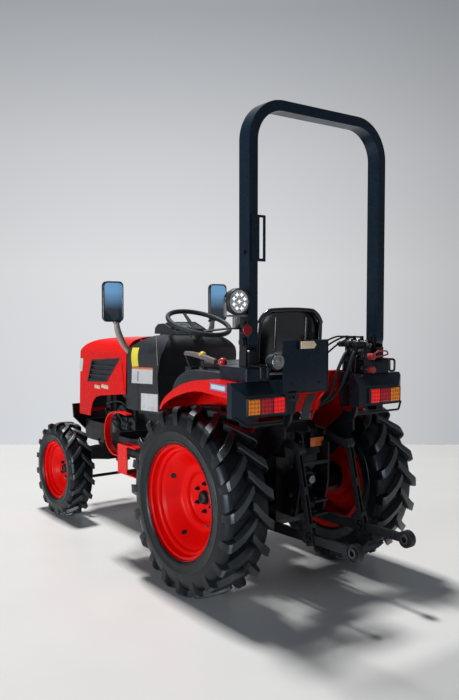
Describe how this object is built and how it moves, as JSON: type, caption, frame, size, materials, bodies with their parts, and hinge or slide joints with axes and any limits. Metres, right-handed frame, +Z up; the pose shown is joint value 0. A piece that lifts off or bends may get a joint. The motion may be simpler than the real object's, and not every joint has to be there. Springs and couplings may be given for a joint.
{
  "type": "compact tractor",
  "caption": "Compact four-wheel-drive tractor with folding roll-over hoop, steered front wheels, lifting hood and rear lift linkage.",
  "frame": {"origin": "on the ground under the middle of the box around the machine as parked", "axes": "+X forward, +Y to the driver's left, +Z up"},
  "size_m": [2.551, 1.104, 2.112],
  "materials": {
    "tyre": "matte",
    "red_paint": "gloss",
    "black_paint": "gloss",
    "dark_metal": "satin",
    "engine_metal": "satin",
    "bright_steel": "satin",
    "dark_plastic": "satin",
    "gloss_plastic": "gloss",
    "lamp_red": "gloss",
    "lamp_white": "gloss",
    "mirror": "polished",
    "rubber": "matte"
  },
  "bodies": {
    "chassis": {"transmission": "dark_metal", "engine": "engine_metal", "radiator": "dark_metal", "front_frame": "dark_metal", "front_axle": "dark_metal", "platform": "dark_metal", "steps": "red_paint", "dash_cowl": "dark_plastic", "instrument_pod": "dark_plastic", "firewall": "dark_metal", "steering_column": "dark_plastic", "seat": "gloss_plastic", "seat_base": "dark_metal", "fenders": "red_paint", "consoles": "dark_plastic", "fender_caps": "black_paint", "tail_lamps": "lamp_red", "rops_base": "black_paint", "hitch": "dark_metal", "pto_shaft": "bright_steel", "mirrors": "dark_plastic", "mirror_glass": "mirror", "number_plate": "gloss_plastic", "controls": "dark_metal", "aux_valve": "dark_metal", "coupler_caps": "lamp_red", "valve_hoses": "rubber"},
    "hood": {"hood": "red_paint", "hood_grilles": "dark_plastic", "headlamps": "lamp_white"},
    "hoop": {"rops_hoop": "black_paint", "work_lamp": "lamp_white"},
    "hand_wheel": {"steering_wheel": "rubber"},
    "knuckle_left": {"knuckle_left": "dark_metal"},
    "knuckle_right": {"knuckle_right": "dark_metal"},
    "tie_rod": {"tie_rod": "dark_metal"},
    "wheel_rear_left": {"tyre_rear_left": "tyre", "rim_rear_left": "red_paint"},
    "wheel_rear_right": {"tyre_rear_right": "tyre", "rim_rear_right": "red_paint"},
    "wheel_front_left": {"tyre_front_left": "tyre", "rim_front_left": "red_paint"},
    "wheel_front_right": {"tyre_front_right": "tyre", "rim_front_right": "red_paint"},
    "lift_arms": {"lift_arms": "dark_metal"},
    "lift_rod_left": {"lift_rod_left": "dark_metal"},
    "lift_rod_right": {"lift_rod_right": "dark_metal"},
    "lower_link_left": {"lower_link_left": "dark_metal"},
    "lower_link_right": {"lower_link_right": "dark_metal"}
  },
  "joints": [
    {"name": "spin_rear_left", "type": "hinge", "parent": "chassis", "child": "wheel_rear_left", "pos_m": [-0.5585, 0.437, 0.415], "axis": [0, 1, 0], "continuous": true},
    {"name": "spin_rear_right", "type": "hinge", "parent": "chassis", "child": "wheel_rear_right", "pos_m": [-0.5585, -0.437, 0.415], "axis": [0, 1, 0], "continuous": true},
    {"name": "steer_left", "type": "hinge", "parent": "chassis", "child": "knuckle_left", "pos_m": [0.9925, 0.275, 0.283], "axis": [0, 0, 1], "range_deg": [-38, 38]},
    {"name": "steer_right", "type": "hinge", "parent": "chassis", "child": "knuckle_right", "pos_m": [0.9925, -0.275, 0.283], "axis": [0, 0, 1], "range_deg": [-38, 38]},
    {"name": "tie_rod_eye", "type": "hinge", "parent": "knuckle_left", "child": "tie_rod", "pos_m": [0.8825, 0.265, 0.236], "axis": [0, 0, 1], "range_deg": [-38, 38]},
    {"name": "hand_wheel_turn", "type": "hinge", "parent": "chassis", "child": "hand_wheel", "pos_m": [0.0715, 0, 1.18], "axis": [-0.3649, 0, 0.9311], "range_deg": [-456, 456]},
    {"name": "spin_front_left", "type": "hinge", "parent": "knuckle_left", "child": "wheel_front_left", "pos_m": [0.9925, 0.368, 0.283], "axis": [0, 1, 0], "continuous": true},
    {"name": "spin_front_right", "type": "hinge", "parent": "knuckle_right", "child": "wheel_front_right", "pos_m": [0.9925, -0.368, 0.283], "axis": [0, 1, 0], "continuous": true},
    {"name": "hood_hinge", "type": "hinge", "parent": "chassis", "child": "hood", "pos_m": [0.4775, 0, 1.04], "axis": [0, -1, 0], "range_deg": [0, 50]},
    {"name": "hoop_fold", "type": "hinge", "parent": "chassis", "child": "hoop", "pos_m": [-0.8445, 0, 1.115], "axis": [0, -1, 0], "range_deg": [0, 90]},
    {"name": "lift", "type": "hinge", "parent": "chassis", "child": "lift_arms", "pos_m": [-0.6285, 0, 0.668], "axis": [0, 1, 0], "range_deg": [-15, 30]},
    {"name": "link_left", "type": "hinge", "parent": "chassis", "child": "lower_link_left", "pos_m": [-0.6185, 0.153, 0.285], "axis": [0, 1, 0], "range_deg": [-13, 24]},
    {"name": "link_right", "type": "hinge", "parent": "chassis", "child": "lower_link_right", "pos_m": [-0.6185, -0.153, 0.285], "axis": [0, 1, 0], "range_deg": [-13, 24]},
    {"name": "rod_left", "type": "hinge", "parent": "lift_arms", "child": "lift_rod_left", "pos_m": [-0.9035, 0.153, 0.648], "axis": [0, 1, 0], "range_deg": [-34, 18]},
    {"name": "rod_right", "type": "hinge", "parent": "lift_arms", "child": "lift_rod_right", "pos_m": [-0.9035, -0.153, 0.648], "axis": [0, 1, 0], "range_deg": [-34, 18]}
  ],
  "couplings": [
    {"joint": "steer_right", "follows": "steer_left", "ratio": 1},
    {"joint": "tie_rod_eye", "follows": "steer_left", "ratio": -1},
    {"joint": "hand_wheel_turn", "follows": "steer_left", "ratio": 12},
    {"joint": "link_left", "follows": "lift", "ratio": 0.743},
    {"joint": "link_right", "follows": "lift", "ratio": 0.743},
    {"joint": "rod_left", "follows": "lift", "ratio": -1.0378},
    {"joint": "rod_right", "follows": "lift", "ratio": -1.0378}
  ]
}
